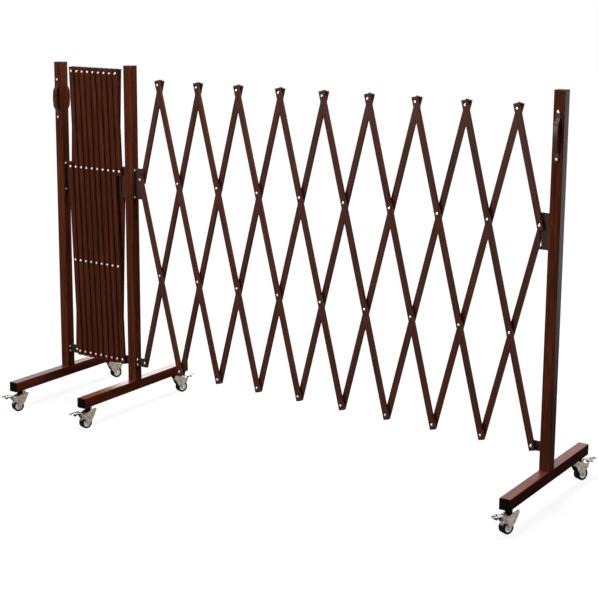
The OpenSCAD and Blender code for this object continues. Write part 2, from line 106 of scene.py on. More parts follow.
GAP = {side: 2 * RIVET_IN + PEAKS * pitch(side) for side in LEAN}
POST_X = {"left": -(GAP["left"] + GAP["right"]) / 2, "right": (GAP["left"] + GAP["right"]) / 2}
POST_X["middle"] = POST_X["left"] + GAP["left"]
for place, x in POST_X.items():
    low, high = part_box(place + "_foot")
    foot_middle = (low.x + high.x) / 2 / MM
    print(place, "post at", round(x, 2), "mm, its foot in the packed model at", round(foot_middle, 2))

# %% [markdown]
# ## Small tools for modelling
# The modelling is done with the same operators as by hand. An operator acts on
# whatever is selected, so each helper first clears the selection. Faces and
# edges are picked in code, by where they are or which way they look.


# %% Selecting
def only(obj):
    """Make obj the one selected, active object."""
    bpy.ops.object.select_all(action="DESELECT")
    obj.select_set(True)
    bpy.context.view_layer.objects.active = obj


def pick(obj, kind, wanted):
    """In edit mode, select just the VERT, EDGE or FACE elements that wanted() accepts."""
    bpy.ops.mesh.select_mode(type=kind)
    bpy.ops.mesh.select_all(action="DESELECT")
    mesh = bmesh.from_edit_mesh(obj.data)
    for element in {"VERT": mesh.verts, "EDGE": mesh.edges, "FACE": mesh.faces}[kind]:
        if wanted(element):
            element.select_set(True)
    bmesh.update_edit_mesh(obj.data)


def middle_of(element):
    """The middle of an edge or face, in millimetres."""
    return sum((v.co for v in element.verts), Vector()) / len(element.verts) / MM


def runs_along(edge, axis):
    """True if the edge runs along axis 0, 1 or 2."""
    step = edge.verts[1].co - edge.verts[0].co
    return abs(step[axis]) > 0.999 * step.length


def near(a, b):
    return abs(a - b) < 0.02


# %% [markdown]
# Three starting shapes cover almost every piece of the gate. A block is a cube
# at its size. A flat outline is drawn by extruding one vertex from corner to
# corner, and then filled. A turned piece is such a line spun round the Z axis,
# as on a lathe.


# %% Blocks, outlines and turned pieces
def block(name, low, high):
    """A cube between two corners."""
    low, high = Vector(low) * MM, Vector(high) * MM
    bpy.ops.object.select_all(action="DESELECT")
    bpy.ops.mesh.primitive_cube_add(size=1, location=(low + high) / 2)
    obj = bpy.context.object
    obj.name, obj.scale = name, high - low
    bpy.ops.object.transform_apply(location=True, rotation=False, scale=True)
    return obj


def drawn_line(name, corners):
    """A chain of edges through the corners. It leaves the object in edit mode."""
    bpy.ops.object.select_all(action="DESELECT")
    bpy.ops.mesh.primitive_plane_add(size=MM, location=(0, 0, 0))
    obj = bpy.context.object
    obj.name = name
    bpy.ops.object.mode_set(mode="EDIT")
    bpy.ops.mesh.select_mode(type="VERT")
    bpy.ops.mesh.select_all(action="SELECT")
    bpy.ops.mesh.merge(type="CENTER")
    bpy.ops.transform.translate(value=Vector(corners[0]) * MM)
    for before, after in zip(corners, corners[1:]):
        step = (Vector(after) - Vector(before)) * MM
        bpy.ops.mesh.extrude_region_move(TRANSFORM_OT_translate={"value": step})
    bpy.ops.mesh.select_all(action="SELECT")
    return obj


def plate(name, corners, thickness):
    """A flat outline, filled, and given its thickness along the vector."""
    obj = drawn_line(name, corners)
    bpy.ops.mesh.edge_face_add()
    bpy.ops.mesh.extrude_region_move(TRANSFORM_OT_translate={"value": Vector(thickness) * MM})
    bpy.ops.mesh.select_all(action="SELECT")
    bpy.ops.mesh.normals_make_consistent(inside=False)
    bpy.ops.object.mode_set(mode="OBJECT")
    return obj


def turned(name, profile, steps=32):
    """A round piece about Z, from (radius, height) points in millimetres."""
    obj = drawn_line(name, [(r, 0, z) for r, z in profile])
    bpy.ops.mesh.spin(steps=steps, angle=math.tau, center=(0, 0, 0), axis=(0, 0, 1))
    bpy.ops.mesh.select_all(action="SELECT")
    bpy.ops.mesh.remove_doubles(threshold=0.001 * MM)
    bpy.ops.mesh.normals_make_consistent(inside=False)
    bpy.ops.object.mode_set(mode="OBJECT")
    return obj


def bowed(middle, radius, start, end, steps):
    """Points on an arc in a plane, with angles in degrees."""
    angles = [math.radians(start + (end - start) * i / steps) for i in range(steps + 1)]
    return [(middle[0] + radius * math.cos(a), middle[1] + radius * math.sin(a)) for a in angles]


# %% [markdown]
# No edge of a real piece is perfectly sharp, and the narrow light along a
# rounded edge is much of what makes metal look like metal. The Bevel modifier
# rounds the edges. Weighted Normal then keeps the flat faces flat to the light,
# which smooth shading alone would spoil.


# %% Modifiers, rounding and copies
def apply_modifier(obj, kind, **settings):
    """Add one modifier, set it and apply it."""
    only(obj)
    bpy.ops.object.modifier_add(type=kind)
    modifier = obj.modifiers[-1]
    for name, value in settings.items():
        setattr(modifier, name, value)
    bpy.ops.object.modifier_apply(modifier=modifier.name)


def cut_away(obj, tool, operation="DIFFERENCE"):
    """Cut the tool's shape out of obj, or weld it on, and throw the tool away."""
    apply_modifier(obj, "BOOLEAN", operation=operation, solver="EXACT", object=tool)
    bpy.data.objects.remove(tool)


def round_edges(obj, width, segments=2, angle=30):
    """Round every edge that is sharper than the angle."""
    apply_modifier(obj, "BEVEL", width=width * MM, segments=segments, limit_method="ANGLE",
                   angle_limit=math.radians(angle), miter_outer="MITER_ARC")


def smooth(obj, angle=40):
    """Smooth shading that keeps real corners and flat faces."""
    only(obj)
    bpy.ops.object.shade_smooth_by_angle(angle=math.radians(angle))
    apply_modifier(obj, "WEIGHTED_NORMAL", keep_sharp=True)
    return obj


def copied(master, name, matrix):
    """A copy with its own mesh, moved into place inside the mesh."""
    only(master)
    bpy.ops.object.duplicate(linked=False)
    obj = bpy.context.object
    obj.name = name
    obj.matrix_world = matrix
    bpy.ops.object.transform_apply(location=True, rotation=True, scale=True)
    return obj


def joined(name, pieces):
    """Several objects made into one."""
    bpy.ops.object.select_all(action="DESELECT")
    for piece in pieces:
        piece.select_set(True)
    bpy.context.view_layer.objects.active = pieces[0]
    if len(pieces) > 1:
        bpy.ops.object.join()
    pieces[0].name = name
    return pieces[0]


def at(x, y, z):
    """A move in millimetres."""
    return Matrix.Translation(Vector((x, y, z)) * MM)


def turn(degrees, axis):
    return Matrix.Rotation(math.radians(degrees), 4, axis)


# %% [markdown]
# ## Finishes
# The brown finish is a printed grain under a satin lacquer. The grain is long
# thin streaks on broad soft bands, so it is noise that is stretched along the
# piece. The effects that several finishes share are node groups with named
# inputs, and each material sets them its own way.


# %% Node helpers
def add_node(tree, kind, **settings):
    """A new node with its settings."""
    node = tree.nodes.new(kind)
    for name, value in settings.items():
        setattr(node, name, value)
    return node


def feed(tree, node, **inputs):
    """Give a node's inputs, by name, a number or another node's output."""
    for name, value in inputs.items():
        socket = node.inputs[name.replace("_", " ")]
        if isinstance(value, bpy.types.NodeSocket):
            tree.links.new(value, socket)
        else:
            socket.default_value = value
    return node


def new_group(name, inputs, outputs):
    """A shader node group, and its input and output nodes."""
    group = bpy.data.node_groups.new(name, "ShaderNodeTree")
    for label, kind, value in inputs:
        socket = group.interface.new_socket(label, in_out="INPUT", socket_type=kind)
        if value is not None:
            socket.default_value = value
    for label in outputs:
        group.interface.new_socket(label, in_out="OUTPUT", socket_type="NodeSocketFloat")
    return group, group.nodes.new("NodeGroupInput"), group.nodes.new("NodeGroupOutput")


def noise(tree, vector, scale, detail=2.0, rough=0.5):
    """The grey value of a noise texture."""
    node = add_node(tree, "ShaderNodeTexNoise")
    feed(tree, node, Vector=vector, Scale=scale, Detail=detail, Roughness=rough)
    return node.outputs["Fac"]


def stretch(tree, vector, factors):
    """The vector times three factors."""
    node = add_node(tree, "ShaderNodeVectorMath", operation="MULTIPLY")
    tree.links.new(vector, node.inputs[0])
    node.inputs[1].default_value = factors
    return node.outputs[0]


def between(tree, value, low, high, to_low=0.0, to_high=1.0):
    """The value, taken from one range to another and clamped."""
    node = add_node(tree, "ShaderNodeMapRange")
    feed(tree, node, Value=value, From_Min=low, From_Max=high, To_Min=to_low, To_Max=to_high)
    return node.outputs["Result"]


def math_of(tree, operation, a, b):
    node = add_node(tree, "ShaderNodeMath", operation=operation)
    for socket, value in zip(node.inputs, (a, b)):
        if isinstance(value, bpy.types.NodeSocket):
            tree.links.new(value, socket)
        else:
            socket.default_value = value
    return node.outputs[0]


# %% [markdown]
# The wood print takes a place on the piece, with the grain along Z, and gives
# three masks: thin dark streaks, broad bands of tone, and fine pores. A slow
# wander is added to the place first, so that no streak runs dead straight.


# %% The wood print
STREAK_SCALE = 420.0
WANDER = 12 * MM


def wood_print_group():
    group, given, made = new_group(
        "wood print",
        [("Vector", "NodeSocketVector", None), ("Streak scale", "NodeSocketFloat", STREAK_SCALE)],
        ["Streaks", "Bands", "Pores"])
    slow = noise(group, stretch(group, given.outputs["Vector"], (1, 1, 0.35)), 9.0, 1.0)
    wander = math_of(group, "MULTIPLY", math_of(group, "SUBTRACT", slow, 0.5), WANDER)
    offset = add_node(group, "ShaderNodeCombineXYZ")
    feed(group, offset, X=wander, Y=wander)
    place = add_node(group, "ShaderNodeVectorMath", operation="ADD")
    group.links.new(given.outputs["Vector"], place.inputs[0])
    group.links.new(offset.outputs[0], place.inputs[1])

    def grain(along, scale, detail, rough=0.5):
        """Noise that is drawn out along Z. The smaller along is, the longer its spots."""
        return noise(group, stretch(group, place.outputs[0], (1, 1, along)), scale, detail, rough)

    streak = grain(0.022, given.outputs["Streak scale"], 4.0, 0.62)
    band = grain(0.045, 70.0, 2.0)
    pore = grain(0.03, 1500.0, 1.0)
    feed(group, made, Streaks=between(group, streak, 0.46, 0.66),
         Bands=between(group, band, 0.3, 0.7), Pores=between(group, pore, 0.62, 0.72))
    return group


WOOD_PRINT = wood_print_group()


# %% [markdown]
# Every surface that is handled has a slightly uneven gloss and a little dust,
# and moulded or plated ones have a faint relief. One group gives all three.


# %% Handled surfaces
def handled_group():
    group, given, made = new_group(
        "handled surface",
        [("Vector", "NodeSocketVector", None), ("Smudge scale", "NodeSocketFloat", 28.0),
         ("Relief scale", "NodeSocketFloat", 1600.0)],
        ["Smudges", "Dust", "Relief"])
    vector = given.outputs["Vector"]
    smudge = noise(group, vector, given.outputs["Smudge scale"], 3.0, 0.55)
    dust = noise(group, vector, 2600.0, 1.0, 0.5)
    relief = noise(group, vector, given.outputs["Relief scale"], 2.0, 0.5)
    feed(group, made, Smudges=between(group, smudge, 0.35, 0.65),
         Dust=between(group, dust, 0.68, 0.78), Relief=relief)
    return group


HANDLED = handled_group()


def use_group(tree, group, **inputs):
    node = add_node(tree, "ShaderNodeGroup", node_tree=group)
    return feed(tree, node, **inputs)


def start_material(name, turned_by=(0, 0, 0)):
    """A new material, its shader, and the place on the piece with its grain turned to Z."""
    material = bpy.data.materials.new(name)
    material.use_nodes = True
    tree = material.node_tree
    place = add_node(tree, "ShaderNodeTexCoord").outputs["Object"]
    mapping = add_node(tree, "ShaderNodeMapping")
    feed(tree, mapping, Vector=place, Rotation=turned_by)
    return material, tree, tree.nodes["Principled BSDF"], mapping.outputs[0]


def mixed(tree, factor, a, b):
    """Two colours mixed by a mask. Each is a colour or a node's output."""
    node = add_node(tree, "ShaderNodeMix", data_type="RGBA")
    tree.links.new(factor, node.inputs[0])
    for index, value in ((6, a), (7, b)):
        if isinstance(value, bpy.types.NodeSocket):
            tree.links.new(value, node.inputs[index])
        else:
            node.inputs[index].default_value = (*value, 1)
    return node.outputs[2]


def bumped(tree, shader, height, depth):
    """Feed a relief to the shader, with its depth in millimetres."""
    node = add_node(tree, "ShaderNodeBump")
    feed(tree, node, Height=height, Distance=depth * MM, Strength=1.0)
    tree.links.new(node.outputs[0], shader.inputs["Normal"])


def uneven(tree, marks, rough, duller):
    """A roughness that the smudges vary, from a little glossier to duller."""
    return between(tree, marks.outputs["Smudges"], 0, 1, rough - 0.05, rough + duller)


def axis_of(tree, coordinate, axis):
    """One axis of an output of the Texture Coordinate node."""
    split = add_node(tree, "ShaderNodeSeparateXYZ")
    tree.links.new(add_node(tree, "ShaderNodeTexCoord").outputs[coordinate], split.inputs[0])
    return split.outputs[axis]


# %% [markdown]
# In the photograph the brown faces that look at the camera are dark and dull,
# and the tops of the feet, seen at a glancing angle, are pale. One even gloss
# can't give both. So the print itself reflects nothing, apart from a little on
# the slats of the open panel, which is a painted sheen, as the folded panel's
# slats have the same print without it. The film of lacquer over the print is the
# shader's coat, which Layer Weight lets in only at a glancing angle. On the feet
# it lies on the tops and hardly on the sides, a painted sheen on the tops; on
# the posts it is duller near the floor, a painted fading of their sheen; and the
# slats have none.


# %% Brown wood-grain coating
WOOD_ROUGHNESS, FILM_ROUGHNESS = 0.30, 0.28
WOOD_RELIEF = 0.012
WOOD_DUST = (0.25, 0.20, 0.17)
FILM_FROM, FILM_FULL = 0.5, 0.7  # where the film starts and is whole, from facing 0 to edge-on 1
SIDE_FILM = 0.06  # the share of the film on faces that don't look up
# A painted fading of the sheen: below these metres the posts' film keeps only this share, so their lower
# parts shine less
DIM_SHEEN_TO, DIM_SHEEN_SHARE = 0.3, 0.2  # metres above the floor, and the share of the film below that


def wood_coating(name, turned_by, base=(0.058, 0.0145, 0.0062), dark=(0.017, 0.0050, 0.0030),
                 warm=(0.112, 0.0265, 0.0105), film=False, tops_only=False, whole_above=None, specular=0.0):
    """The brown print. With a film it may lie on the tops only, or be whole above a height in metres."""
    material, tree, shader, place = start_material(name, turned_by)
    grain = use_group(tree, WOOD_PRINT, Vector=place, Streak_scale=STREAK_SCALE)
    marks = use_group(tree, HANDLED, Vector=place)
    streaks, pores, dust = grain.outputs["Streaks"], grain.outputs["Pores"], marks.outputs["Dust"]
    colour = mixed(tree, grain.outputs["Bands"], base, warm)
    for mask, strength, tint in ((streaks, 0.8, dark), (pores, 0.6, dark), (dust, 0.1, WOOD_DUST)):
        colour = mixed(tree, math_of(tree, "MULTIPLY", mask, strength), colour, tint)
    tree.links.new(colour, shader.inputs["Base Color"])
    rough = uneven(tree, marks, WOOD_ROUGHNESS, 0.07)
    rough = math_of(tree, "ADD", rough, math_of(tree, "MULTIPLY", pores, 0.12))
    tree.links.new(rough, shader.inputs["Roughness"])
    shader.inputs["Specular IOR Level"].default_value = specular
    bumped(tree, shader, math_of(tree, "SUBTRACT", marks.outputs["Relief"], pores), WOOD_RELIEF)
    if film:
        facing = add_node(tree, "ShaderNodeLayerWeight")
        facing.inputs["Blend"].default_value = 0.5
        weight = between(tree, facing.outputs["Facing"], FILM_FROM, FILM_FULL)
        # A painted sheen: the film lies on faces that look up and hardly on the sides
        if tops_only:
            looks_up = math_of(tree, "MAXIMUM", axis_of(tree, "Normal", "Z"), SIDE_FILM)
            weight = math_of(tree, "MULTIPLY", weight, looks_up)
        # Painted fading of the sheen: the film is weaker below a height, so the lower posts shine less
        if whole_above:
            height = axis_of(tree, "Object", "Z")
            painted_fade = between(tree, height, DIM_SHEEN_TO, whole_above, DIM_SHEEN_SHARE, 1.0)
            weight = math_of(tree, "MULTIPLY", weight, painted_fade)
        tree.links.new(weight, shader.inputs["Coat Weight"])
        shader.inputs["Coat Roughness"].default_value = FILM_ROUGHNESS
    return material


POST_WOOD = wood_coating("post wood print", (0, 0, 0), film=True, whole_above=0.75)
FOOT_WOOD = wood_coating("foot wood print", (math.radians(90), 0, 0), film=True, tops_only=True,
                         base=(0.054, 0.0115, 0.0050), warm=(0.130, 0.0285, 0.0130))
# The slats of the open panel, on the right, get a little specular that the left ones lack: a painted sheen,
# as both panels have the same print
SLAT_WOOD = {}
for side, sign in (("right", 1), ("left", -1)):
    for way, slope in (("falling", 1), ("rising", -1)):
        SLAT_WOOD[side, way] = wood_coating(
            side + " " + way + " slat wood print", (0, sign * slope * LEAN[side], 0),
            base=(0.060, 0.0160, 0.0075), warm=(0.092, 0.0245, 0.0115), dark=(0.019, 0.0060, 0.0036),
            specular=0.10 if side == "right" else 0.0)


# %% [markdown]
# The rest are simpler. Moulded plastic is a plain colour with a fine relief.
# Plated steel is metal whose gloss is clouded, with a warm tone on the forks and
# a paler one on the zinc pedals and hubs and on the rivets. Rubber is nearly
# black and dull, with dust in its relief.


# %% Plastic, paint, metal and rubber
PLAIN_DUST = (0.32, 0.29, 0.26)


def plain_finish(name, colour, rough, metallic=0.0, dust=0.1, relief=0.01, relief_scale=1600.0,
                 shade=0.75, specular=0.2, clouds=28.0):
    """One colour, darker by shade where there are smudges, with a relief in millimetres."""
    material, tree, shader, place = start_material(name)
    marks = use_group(tree, HANDLED, Vector=place, Smudge_scale=clouds, Relief_scale=relief_scale)
    darker = tuple(c * shade for c in colour)
    tone = mixed(tree, marks.outputs["Smudges"], darker, colour)
    tone = mixed(tree, math_of(tree, "MULTIPLY", marks.outputs["Dust"], dust), tone, PLAIN_DUST)
    tree.links.new(tone, shader.inputs["Base Color"])
    tree.links.new(uneven(tree, marks, rough, 0.08), shader.inputs["Roughness"])
    shader.inputs["Metallic"].default_value = metallic
    shader.inputs["Specular IOR Level"].default_value = specular
    bumped(tree, shader, marks.outputs["Relief"], relief)
    return material


BRACKET_PAINT = plain_finish("bracket paint", (0.036, 0.014, 0.009), 0.42, relief=0.02, specular=0.15)
GRIP_PLASTIC = plain_finish("grip plastic", (0.052, 0.0150, 0.0080), 0.26,
                            relief=0.02, relief_scale=900.0, specular=0.22)
CAP_PLASTIC = plain_finish("cap plastic", (0.020, 0.008, 0.0055), 0.5, relief=0.02, specular=0.12)
BLACK_PLASTIC = plain_finish("black plastic", (0.0035, 0.0031, 0.0032), 0.48,
                             relief=0.03, dust=0.02, specular=0.02)
NICKEL = plain_finish("nickel plate", (0.74, 0.64, 0.52), 0.28, metallic=1.0,
                      relief=0.006, relief_scale=500.0, shade=0.55, dust=0.04, clouds=90.0)
PEDAL_ZINC = plain_finish("pedal zinc", (0.58, 0.56, 0.545), 0.32, metallic=1.0,
                          relief=0.006, relief_scale=700.0, shade=0.86, dust=0.04)
RIVET_METAL = plain_finish("rivet metal", (0.80, 0.73, 0.69), 0.34, metallic=1.0,
                           relief=0.003, relief_scale=900.0, shade=0.85, dust=0.03)
TYRE_RUBBER = plain_finish("tyre rubber", (0.0045, 0.0042, 0.0042), 0.6,
                           relief=0.04, relief_scale=1100.0, dust=0.05, specular=0.08)
HUB_ZINC = plain_finish("hub zinc", (0.93, 0.90, 0.87), 0.36, metallic=1.0, shade=0.85, dust=0.05)
print("Materials:", len(bpy.data.materials))


# %% [markdown]
# ## Hanging pieces on the gate
# A finished piece takes its material, rides on a body and stands in for nodes
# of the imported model. One function does all of it, so that none is forgotten.


# %% Finishing a piece
def hang(obj, body, material, slot, *nodes):
    """Give a piece its finish, its body and the nodes it stands for. The slot is not used."""
    obj.data.materials.clear()
    obj.data.materials.append(material)
    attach(obj, body)
    if nodes:
        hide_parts(*nodes)
    return obj


def body_of_post(place):
    return place + "_frame"


# %% [markdown]
# ## Square tube
# Posts, feet and slats are all square or flat tube. A block becomes a tube when
# its two end faces are inset by the wall and bridged, which opens a tunnel
# between them. The four long outer edges are bevelled to the radius that
# drawn tube has.


# %% Tubes
def tube(name, width, depth, length, wall, corner):
    """A tube that stands on z = 0."""
    obj = block(name, (-width / 2, -depth / 2, 0), (width / 2, depth / 2, length))
    only(obj)
    bpy.ops.object.mode_set(mode="EDIT")
    pick(obj, "FACE", lambda face: abs(face.normal.z) > 0.9)
    bpy.ops.mesh.inset(thickness=wall * MM, use_individual=True)
    bpy.ops.mesh.bridge_edge_loops()
    pick(obj, "EDGE", lambda edge: runs_along(edge, 2) and near(abs(middle_of(edge).x), width / 2))
    bpy.ops.mesh.bevel(offset=corner * MM, segments=3, affect="EDGES")
    pick(obj, "EDGE", lambda edge: runs_along(edge, 2) and abs(middle_of(edge).x) < width / 2 - wall + 0.02
         and abs(middle_of(edge).y) < depth / 2 - wall + 0.02)
    bpy.ops.mesh.bevel(offset=corner * 0.4 * MM, segments=2, affect="EDGES")
    bpy.ops.object.mode_set(mode="OBJECT")
    return smooth(obj)


def plug(name, width, depth, plate_t, body_w, body_d, deep, corner):
    """An end plug: a plate above z = 0 and a smaller body below it."""
    obj = block(name, (-width / 2, -depth / 2, 0), (width / 2, depth / 2, plate_t))
    only(obj)
    bpy.ops.object.mode_set(mode="EDIT")
    pick(obj, "FACE", lambda face: face.normal.z < -0.9)
    bpy.ops.mesh.inset(thickness=(width - body_w) / 2 * MM)
    bpy.ops.transform.resize(value=(1, body_d / (depth - width + body_w), 1), center_override=(0, 0, 0))
    bpy.ops.mesh.extrude_region_move(TRANSFORM_OT_translate={"value": (0, 0, -deep * MM)})
    pick(obj, "EDGE", lambda edge: runs_along(edge, 2) and near(abs(middle_of(edge).x), width / 2))
    bpy.ops.mesh.bevel(offset=corner * MM, segments=3, affect="EDGES")
    pick(obj, "EDGE", lambda edge: all(near(vert.co.z / MM, plate_t) for vert in edge.verts))
    bpy.ops.mesh.bevel(offset=0.45 * plate_t * MM, segments=3, affect="EDGES")
    bpy.ops.object.mode_set(mode="OBJECT")
    return smooth(obj)


# %% [markdown]
# ## Posts and caps
# Each post is one tube between the foot and a thin moulded cap. The post is
# copied three times, each time with a mesh of its own.

# %% Posts
POST_LEN = GATE_TOP - CAP_T - FOOT_TOP
TUBE_CORNER, PLUG_CORNER = 2.0, 2.2
PLUG_PLAY = 0.2
PLUG_BODY, PLUG_DEEP = TUBE_W - 2 * TUBE_WALL - PLUG_PLAY, 12
post_master = tube("post master", TUBE_W, TUBE_W, POST_LEN - SEAT, TUBE_WALL, TUBE_CORNER)
cap_master = plug("cap master", TUBE_W, TUBE_W, CAP_T, PLUG_BODY, PLUG_BODY, PLUG_DEEP, PLUG_CORNER)
for place, x in POST_X.items():
    post = copied(post_master, place + "_post_tube", at(x, 0, FOOT_TOP))
    hang(post, body_of_post(place), POST_WOOD, "brown_tube", place + "_post")
    cap = copied(cap_master, place + "_post_cap", at(x, 0, GATE_TOP - CAP_T))
    hang(cap, body_of_post(place), CAP_PLASTIC, "brown_tube")
print("Post tube:", len(post_master.data.polygons), "faces")

# %% [markdown]
# ## Feet
# A foot is the same tube laid along Y, with a black plug pushed into each end.
# The head of the bolt that holds the post shows under the middle of the foot.

# %% Feet
foot_master = tube("foot master", TUBE_W, TUBE_W, FOOT_LEN - 2 * CAP_T - 2 * SEAT, TUBE_WALL, TUBE_CORNER)
end_master = plug("foot plug master", TUBE_W, TUBE_W, CAP_T, PLUG_BODY, PLUG_BODY, PLUG_DEEP, PLUG_CORNER)
bolt_line = [(0, 0), (8, 0), (8, 0.8), (6.1, 1.4), (6.1, 4.2), (5.2, 5), (0, 5)]
bolt_master = turned("bolt master", bolt_line, steps=6)
round_edges(bolt_master, 0.25, 2)
smooth(bolt_master)
FOOT_MID = FOOT_Z + TUBE_W / 2
for place, x in POST_X.items():
    body = body_of_post(place)
    lying = at(x, -(FOOT_LEN / 2 - CAP_T - SEAT), FOOT_MID) @ turn(-90, "X")
    hang(copied(foot_master, place + "_foot_tube", lying), body, FOOT_WOOD, "brown_tube", place + "_foot")
    ends = []
    for way in (-1, 1):
        at_end = at(x, way * (FOOT_LEN / 2 - CAP_T), FOOT_MID) @ turn(-90 * way, "X")
        ends.append(copied(end_master, "end", at_end))
    hang(joined(place + "_foot_plugs", ends), body, BLACK_PLASTIC, "brown_tube")
    bolt = copied(bolt_master, place + "_foot_bolt", at(x, 0, FOOT_Z) @ turn(180, "X"))
    hang(bolt, body, NICKEL, "plated_steel")
print("Foot tube:", len(foot_master.data.polygons), "faces")

# %% [markdown]
# ## Rivets, spacers and screws
# They are turned pieces. A rivet has a domed head with a small dimple at each
# end. A pan head screw is turned too, and then a cross is cut into its head.


# %% Rivets and screws
def rivet(name, start, end, head_r, head_h, shank_r=2.5):
    """A rivet along Y, with a head outside start and end."""
    angles = [math.radians(d) for d in (0, 14, 32, 50, 66, 78)]
    head = [(head_r * math.cos(a), head_h * math.sin(a)) for a in angles]
    head += [(0.12 * head_r, 0.86 * head_h), (0, 0.82 * head_h)]
    line = [(r, start - h) for r, h in reversed(head)]
    line += [(head_r, start), (shank_r, start), (shank_r, end), (head_r, end)]
    line += [(r, end + h) for r, h in head]
    obj = turned(name, line, steps=24)
    obj.data.transform(turn(-90, "X"))
    return smooth(obj, 50)


def spacer(name, start, end, radius=6.0, hole=2.6):
    """A ring along Y with eased rims."""
    ease = 0.4
    ring = [(hole, start), (radius - ease, start), (radius, start + ease), (radius, end - ease),
            (radius - ease, end), (hole, end), (hole, start)]
    obj = turned(name, ring, steps=24)
    obj.data.transform(turn(-90, "X"))
    return smooth(obj)


def screw(name, shank):
    """A pan head screw along Z. The flat of its head is at z = 0."""
    point = [(0, -shank), (1.2, -shank), (2, -shank + 1.5), (2, 0)]
    pan_head = [(4.2, 0), (4.2, 0.7), (4.0, 1.3), (3.4, 1.9), (2.2, 2.3), (0, 2.4)]
    obj = turned(name, point + pan_head, steps=24)
    smooth(obj, 50)
    for way in (0, 90):
        groove = block("groove", (-2.2, -0.5, 1.2), (2.2, 0.5, 4))
        groove.data.transform(turn(way, "Z"))
        cut_away(obj, groove)
    return obj


SHEET = 2.5  # thickness of the brackets
HEAD_FACE = SLAT_Y + SLAT_D / 2  # where the rivet heads lie on the slats
INNER_FACE = SLAT_Y - SLAT_D / 2
SMALL_HEAD, LARGE_HEAD = (4.3, 1.6), (5.0, 2.6)  # radius and height
head_front, head_back = -HEAD_FACE - SEAT, HEAD_FACE + 2 * SEAT
ring_front, ring_back = -INNER_FACE + SEAT, INNER_FACE - 2 * SEAT
beside_sheet = SHEET / 2 + SEAT
crossing_rivet = rivet("crossing rivet", head_front, head_back, *SMALL_HEAD)
sliding_rivet = rivet("sliding rivet", head_front, head_back, *LARGE_HEAD)
bracket_rivet = rivet("bracket rivet", -beside_sheet, head_back, *LARGE_HEAD)
wide_spacer = spacer("wide spacer", ring_front, ring_back)
thin_spacers = joined("thin spacers", [spacer("thin spacer", ring_front, -beside_sheet - SEAT),
                                       spacer("thin spacer", beside_sheet + SEAT, ring_back)])
bracket_spacer = spacer("bracket spacer", beside_sheet, ring_back)
screw_master = screw("screw master", 12)
print("Rivet:", len(crossing_rivet.data.polygons), "faces, screw:", len(screw_master.data.polygons))

# %% [markdown]
# ## Slats
# Each slat is flat tube with a moulded plug in both ends. Falling slats lie on
# one side of the panel and rising ones on the other, 6 mm apart, and the falling
# ones carry the rivets. Slats at the ends of a panel are shorter, because a
# panel starts and ends halfway through a diamond. Three lengths are modelled,
# and copied forty times.

# %% Slat masters
SLAT_CORNER, SLAT_PLUG_DEEP = 1.4, 6
lost = 2 * SLAT_WALL + PLUG_PLAY
slat_end = plug("slat end", SLAT_W, SLAT_D, SLAT_CAP, SLAT_W - lost, SLAT_D - lost,
                SLAT_PLUG_DEEP, SLAT_CORNER)
slat_tubes, slat_ends = {}, {}
for segments in (1, 2, 3):
    reach = SLAT_PAST - SLAT_CAP - SEAT
    bar = tube("slat tube", SLAT_W, SLAT_D, segments * RIVET_STEP + 2 * reach, SLAT_WALL, SLAT_CORNER)
    bar.data.transform(at(0, 0, -reach))
    slat_tubes[segments] = bar
    low_end = copied(slat_end, "low", at(0, 0, SLAT_CAP - SLAT_PAST) @ turn(180, "X"))
    top_end = copied(slat_end, "top", at(0, 0, segments * RIVET_STEP + SLAT_PAST - SLAT_CAP))
    slat_ends[segments] = joined("slat ends", [low_end, top_end])
    print("Slat over", segments, "steps:", len(bar.data.polygons), "faces")


# %% [markdown]
# A slat is placed by the rivet at its lower end: a row, a place along the
# panel, and the lean. The left panel is the right one turned half a turn about
# the middle post. Two rivets of each panel slide in the slots of the long
# brackets, so they have larger heads and thin spacers on both sides of the sheet.


# %% Place the slats
def slat_plan(way, number):
    """(segments, row of its lowest rivet, place of that rivet) of a slat."""
    if way == "falling":
        if number == PEAKS:
            return 1, 1, PEAKS + 0.5
        return (2 if number == 0 else 3), 3, number + 1.5
    if number == 1:
        return 1, 1, 0.5
    return (2 if number == PEAKS + 1 else 3), 3, number - 1.5


def slat_frame(side, way, number):
    """Where a slat stands, and its segments."""
    segments, row, spot = slat_plan(way, number)
    x = RIVET_IN + (spot - 0.5) * pitch(side)
    z = LOW_RIVET + (3 - row) * RIVET_STEP * math.cos(LEAN[side])
    panel = at(POST_X["middle"], 0, 0) @ (turn(180, "Z") if side == "left" else Matrix.Identity(4))
    lean = -LEAN[side] if way == "falling" else LEAN[side]
    return segments, panel @ at(x, 0, z) @ Matrix.Rotation(lean, 4, "Y")


for side in ("right", "left"):
    for way, layer in (("falling", -1), ("rising", 1)):
        front = (side == "right") == (way == "falling")
        for count in range(PEAKS + 1):
            number = count if way == "falling" else count + 1
            name = side + ("_front_slat_" if front else "_back_slat_") + str(count + 1)
            segments, stand = slat_frame(side, way, number)
            in_layer = stand @ at(0, layer * SLAT_Y, 0)
            bar = copied(slat_tubes[segments], name + "_bar", in_layer)
            hang(bar, name, SLAT_WOOD[side, way], "brown_slat", name)
            hang(copied(slat_ends[segments], name + "_ends", in_layer), name, CAP_PLASTIC, "brown_slat")
            if way == "rising":
                continue
            slides_at = {0: segments, PEAKS: 0}.get(number)
            rivets, rings = [], []
            for i in range(segments + 1):
                # This one rivet is made with the bracket of the end post
                if i == 0 and number == PEAKS - 1:
                    continue
                spot = stand @ at(0, 0, i * RIVET_STEP)
                slides = i == slides_at
                rivets.append(copied(sliding_rivet if slides else crossing_rivet, "rivet", spot))
                rings.append(copied(thin_spacers if slides else wide_spacer, "ring", spot))
            hang(joined(name + "_rivets", rivets), name, RIVET_METAL, "plated_steel")
            hang(joined(name + "_spacers", rings), name, CAP_PLASTIC, "brown_slat")

